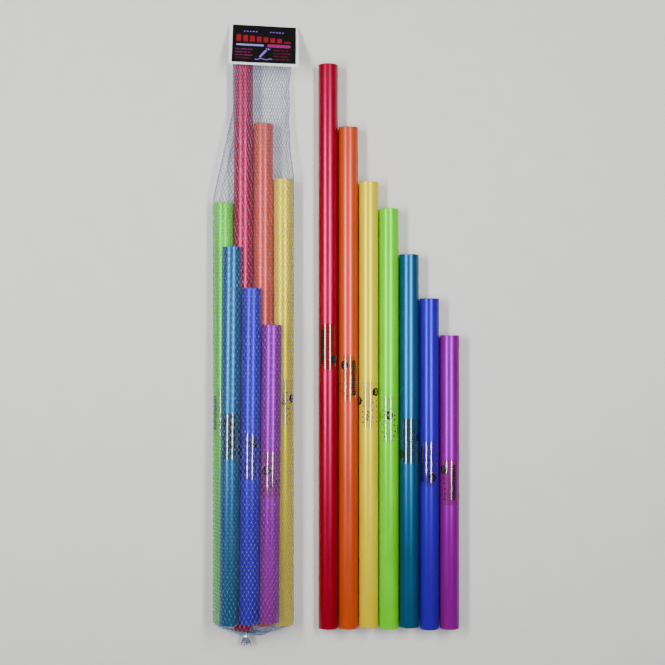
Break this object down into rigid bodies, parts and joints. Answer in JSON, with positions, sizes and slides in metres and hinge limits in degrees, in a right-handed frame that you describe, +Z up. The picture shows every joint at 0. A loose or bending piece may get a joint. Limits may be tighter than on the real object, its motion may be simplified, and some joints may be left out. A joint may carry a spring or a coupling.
{
  "type": "set of tuned percussion tubes",
  "caption": "Hollow coloured plastic tubes of graded lengths, each tuned to a note of one scale: one set packed in a net sleeve with a header card, one set laid out loose.",
  "frame": {"origin": "on the surface the set lies on, under the middle of the whole set", "axes": "+Y along the tubes from their feet to their heads, +X across the row from the packed set to the loose one, +Z up"},
  "size_m": [0.5664, 1.4246, 0.0965],
  "materials": {
    "red_plastic": "satin, coloured through",
    "orange_plastic": "satin, coloured through",
    "yellow_plastic": "satin, coloured through",
    "green_plastic": "satin, coloured through",
    "teal_plastic": "satin, coloured through",
    "blue_plastic": "satin, coloured through",
    "magenta_plastic": "satin, coloured through",
    "clear_film": "clear and glossy",
    "net_plastic": "pale, milky",
    "card_board": "printed black, satin",
    "clip_aluminium": "bright, crimped"
  },
  "bodies": {
    "bag": {"net_sleeve": "net_plastic", "header_card": "card_board", "net_clip": "clip_aluminium"},
    "packed_red": {"tube_packed_red": "red_plastic", "label_packed_red": "clear_film"},
    "packed_orange": {"tube_packed_orange": "orange_plastic", "label_packed_orange": "clear_film"},
    "packed_yellow": {"tube_packed_yellow": "yellow_plastic", "label_packed_yellow": "clear_film"},
    "packed_green": {"tube_packed_green": "green_plastic", "label_packed_green": "clear_film"},
    "packed_teal": {"tube_packed_teal": "teal_plastic", "label_packed_teal": "clear_film"},
    "packed_blue": {"tube_packed_blue": "blue_plastic", "label_packed_blue": "clear_film"},
    "packed_magenta": {"tube_packed_magenta": "magenta_plastic", "label_packed_magenta": "clear_film"},
    "loose_red": {"tube_loose_red": "red_plastic", "label_loose_red": "clear_film"},
    "loose_orange": {"tube_loose_orange": "orange_plastic", "label_loose_orange": "clear_film"},
    "loose_yellow": {"tube_loose_yellow": "yellow_plastic", "label_loose_yellow": "clear_film"},
    "loose_green": {"tube_loose_green": "green_plastic", "label_loose_green": "clear_film"},
    "loose_teal": {"tube_loose_teal": "teal_plastic", "label_loose_teal": "clear_film"},
    "loose_blue": {"tube_loose_blue": "blue_plastic", "label_loose_blue": "clear_film"},
    "loose_magenta": {"tube_loose_magenta": "magenta_plastic", "label_loose_magenta": "clear_film"}
  },
  "joints": [
    {"name": "packed_red_turn", "type": "hinge", "parent": "bag", "child": "packed_red", "pos_m": [-0.20967, -0.02953, 0.02545], "axis": [0, 1, 0], "continuous": true},
    {"name": "packed_orange_turn", "type": "hinge", "parent": "bag", "child": "packed_orange", "pos_m": [-0.16417, -0.09155, 0.02545], "axis": [0, 1, 0], "continuous": true},
    {"name": "packed_yellow_turn", "type": "hinge", "parent": "bag", "child": "packed_yellow", "pos_m": [-0.11867, -0.15346, 0.02545], "axis": [0, 1, 0], "continuous": true},
    {"name": "packed_green_turn", "type": "hinge", "parent": "bag", "child": "packed_green", "pos_m": [-0.25517, -0.17837, 0.02545], "axis": [0, 1, 0], "continuous": true},
    {"name": "packed_teal_turn", "type": "hinge", "parent": "bag", "child": "packed_teal", "pos_m": [-0.23612, -0.22757, 0.0669], "axis": [0.0087, 1, -0.004], "continuous": true},
    {"name": "packed_blue_turn", "type": "hinge", "parent": "bag", "child": "packed_blue", "pos_m": [-0.19103, -0.2728, 0.06709], "axis": [0.0087, 1, -0.004], "continuous": true},
    {"name": "packed_magenta_turn", "type": "hinge", "parent": "bag", "child": "packed_magenta", "pos_m": [-0.14591, -0.31242, 0.06726], "axis": [0.0087, 1, -0.004], "continuous": true},
    {"name": "loose_red_lift", "type": "slide", "parent": "bag", "child": "loose_red", "axis": [0, 0, 1], "range_m": [0, 0.3]},
    {"name": "loose_orange_lift", "type": "slide", "parent": "bag", "child": "loose_orange", "axis": [0, 0, 1], "range_m": [0, 0.3]},
    {"name": "loose_yellow_lift", "type": "slide", "parent": "bag", "child": "loose_yellow", "axis": [0, 0, 1], "range_m": [0, 0.3]},
    {"name": "loose_green_lift", "type": "slide", "parent": "bag", "child": "loose_green", "axis": [0, 0, 1], "range_m": [0, 0.3]},
    {"name": "loose_teal_lift", "type": "slide", "parent": "bag", "child": "loose_teal", "axis": [0, 0, 1], "range_m": [0, 0.3]},
    {"name": "loose_blue_lift", "type": "slide", "parent": "bag", "child": "loose_blue", "axis": [0, 0, 1], "range_m": [0, 0.3]},
    {"name": "loose_magenta_lift", "type": "slide", "parent": "bag", "child": "loose_magenta", "axis": [0, 0, 1], "range_m": [0, 0.3]}
  ]
}
